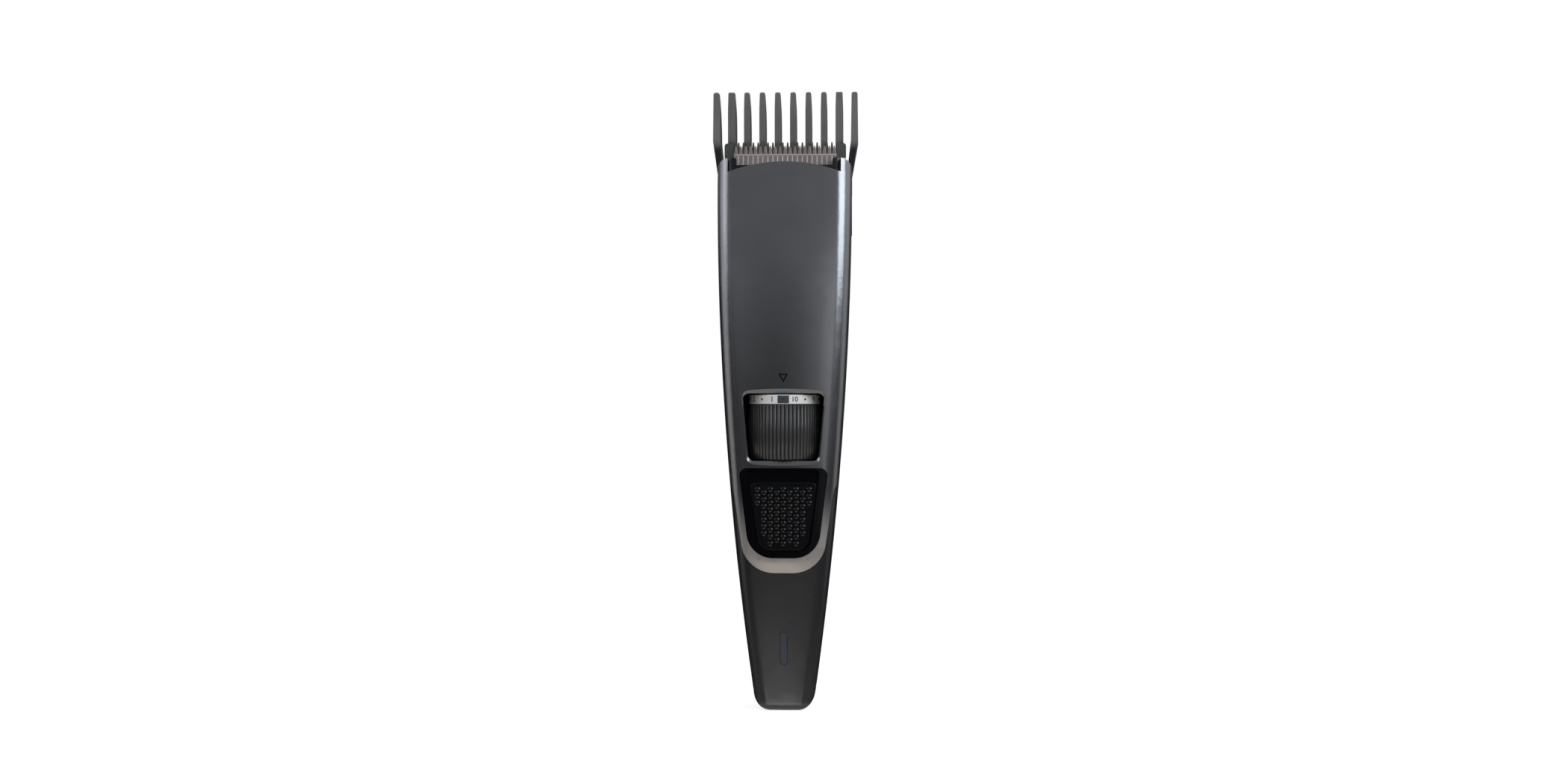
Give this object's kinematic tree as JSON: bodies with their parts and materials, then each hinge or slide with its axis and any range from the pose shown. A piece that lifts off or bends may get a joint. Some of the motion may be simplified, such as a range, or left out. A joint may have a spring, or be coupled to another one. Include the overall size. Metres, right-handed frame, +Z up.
{
  "type": "body groomer",
  "caption": "Upright cordless body groomer with a guide comb, zoom wheel, dimpled slide switch and toothed blade.",
  "frame": {"origin": "centre of the flat foot that the body stands on", "axes": "+Z up the body to the comb, the switch side faces -Y, +X to the right seen from the switch side"},
  "size_m": [0.0444, 0.027, 0.1877],
  "materials": {
    "metallic_grey": "satin metallic coat",
    "charcoal_plastic": "fine matte",
    "black_gloss": "gloss",
    "black_matte": "matte",
    "white_plastic": "natural acetal",
    "steel": "satin",
    "battery_wrap": "shrink wrap",
    "board_green": "solder mask",
    "chip_black": "matte",
    "led_lens": "clear",
    "lead_red": "insulation",
    "brass": "sintered",
    "bright_ring": "bright satin with printed scale",
    "blade_steel": "ground, dark",
    "cutter_steel": "ground, warm tint",
    "comb_grey": "satin"
  },
  "bodies": {
    "housing": {"rear_housing": "charcoal_plastic", "front_cover": "metallic_grey", "switch_bezel": "black_gloss", "chassis": "black_matte", "housing_screws": "steel", "battery_cell": "battery_wrap", "battery_tabs": "steel", "circuit_board": "board_green", "slide_switch_body": "steel", "board_chips": "chip_black", "charge_led": "led_lens", "charge_lens": "led_lens", "inlet_board": "board_green", "usb_socket": "steel", "inlet_leads": "lead_red", "motor_can": "steel", "motor_end_cap": "white_plastic", "motor_bushing": "brass", "motor_leads": "lead_red", "detent_spring": "steel"},
    "zoom_wheel": {"wheel_drum": "black_matte", "wheel_scale_ring": "bright_ring"},
    "carriage": {"comb_carriage": "white_plastic", "cam_pin": "steel"},
    "comb": {"guide_comb": "comb_grey"},
    "switch": {"slider_button": "black_matte", "slider_retainer": "white_plastic", "switch_knob": "white_plastic"},
    "cutting_head": {"head_frame": "black_gloss", "guard_blade": "blade_steel", "guard_screws": "steel", "blade_spring": "steel"},
    "cutter": {"moving_cutter": "cutter_steel", "drive_bridge": "white_plastic"},
    "rotor": {"motor_shaft": "steel", "eccentric_cam": "white_plastic"}
  },
  "joints": [
    {"name": "zoom_wheel_turn", "type": "hinge", "parent": "housing", "child": "zoom_wheel", "pos_m": [0, -0.002, 0.0855], "axis": [0, 0, 1], "range_deg": [0, 342]},
    {"name": "comb_zoom", "type": "slide", "parent": "housing", "child": "carriage", "axis": [0, 0, 1], "range_m": [0, 0.0095]},
    {"name": "comb_lift_off", "type": "slide", "parent": "carriage", "child": "comb", "axis": [0, 0, 1], "range_m": [0, 0.04]},
    {"name": "power_slide", "type": "slide", "parent": "housing", "child": "switch", "axis": [0, 0, 1], "range_m": [0, 0.0036]},
    {"name": "head_pull_off", "type": "slide", "parent": "housing", "child": "cutting_head", "axis": [0, 0, 1], "range_m": [0, 0.03]},
    {"name": "cutter_stroke", "type": "slide", "parent": "cutting_head", "child": "cutter", "axis": [1, 0, 0], "range_m": [-0.0009, 0.0009]},
    {"name": "motor_spin", "type": "hinge", "parent": "housing", "child": "rotor", "pos_m": [0, 0.0004, 0.12], "axis": [0, 0, 1], "continuous": true}
  ],
  "couplings": [
    {"joint": "zoom_wheel_turn", "follows": "comb_zoom", "rad_per_m": 628.32}
  ]
}
